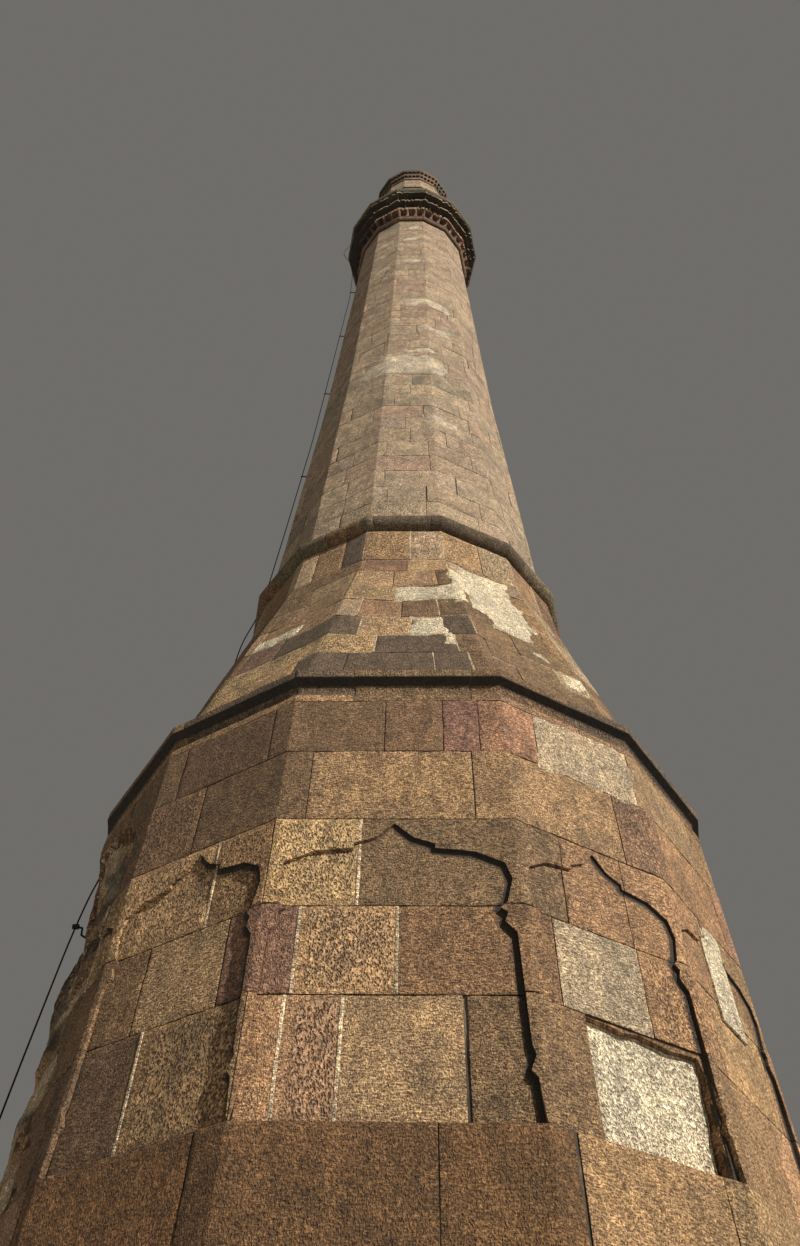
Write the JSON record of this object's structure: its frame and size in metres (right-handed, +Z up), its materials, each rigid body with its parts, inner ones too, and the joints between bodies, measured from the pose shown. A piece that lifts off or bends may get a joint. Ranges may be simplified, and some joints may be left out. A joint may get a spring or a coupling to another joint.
{
  "type": "stone minaret",
  "caption": "Tall fourteen-sided sandstone minaret with an arched base, tapering hollow shaft, corbelled balcony with railing, drum and spire.",
  "frame": {"origin": "centre of the footing course's underside, on the tower's axis at ground level", "axes": "+Z up along the tower's axis, -Y out of the wide front face, +X to the right seen from the front"},
  "size_m": [4.5596, 4.3157, 38],
  "materials": {
    "sandstone": "tooled sandstone ashlar, brown to ochre, weathered",
    "dark_sandstone": "soot-darkened sandstone mouldings",
    "pale_sandstone": "paler tooled sandstone ashlar of the shaft",
    "sheet_lead": "dull grey sheet with rolled seams",
    "iron": "dark painted wrought iron",
    "gilt": "tarnished gilt metal"
  },
  "bodies": {
    "root": {"footing_course": "dark_sandstone", "plinth_front": "sandstone", "plinth_right": "sandstone", "plinth_right_rear": "sandstone", "plinth_left_rear": "sandstone", "plinth_left": "sandstone", "doorway_side_right": "sandstone", "doorway_side_left": "sandstone", "doorway_head": "sandstone", "arch_wall_00": "sandstone", "arch_wall_01": "sandstone", "arch_wall_02": "sandstone", "arch_wall_03": "sandstone", "arch_wall_04": "sandstone", "arch_wall_05": "sandstone", "arch_wall_06": "sandstone", "arch_wall_07": "sandstone", "arch_wall_08": "sandstone", "arch_wall_09": "sandstone", "arch_wall_10": "sandstone", "arch_wall_11": "sandstone", "arch_wall_12": "sandstone", "arch_wall_13": "sandstone", "base_cornice": "dark_sandstone", "facetted_transition": "sandstone", "collar_course": "sandstone", "roll_ring": "dark_sandstone", "shaft_segment_1": "pale_sandstone", "shaft_segment_2": "pale_sandstone", "shaft_segment_3": "pale_sandstone", "shaft_segment_4": "pale_sandstone", "shaft_segment_5": "pale_sandstone", "shaft_segment_6": "pale_sandstone", "shaft_segment_7": "pale_sandstone", "neck_moulding": "sandstone", "corbel_tier_1": "dark_sandstone", "corbel_tier_2": "dark_sandstone", "corbel_tier_3": "dark_sandstone", "balcony_slab": "dark_sandstone", "balcony_railing": "iron", "drum_wall_right": "pale_sandstone", "drum_wall_left": "pale_sandstone", "drum_doorway_head": "pale_sandstone", "drum_cornice": "dark_sandstone", "spire": "sheet_lead", "finial": "gilt", "lightning_conductor": "iron"}
  },
  "joints": []
}
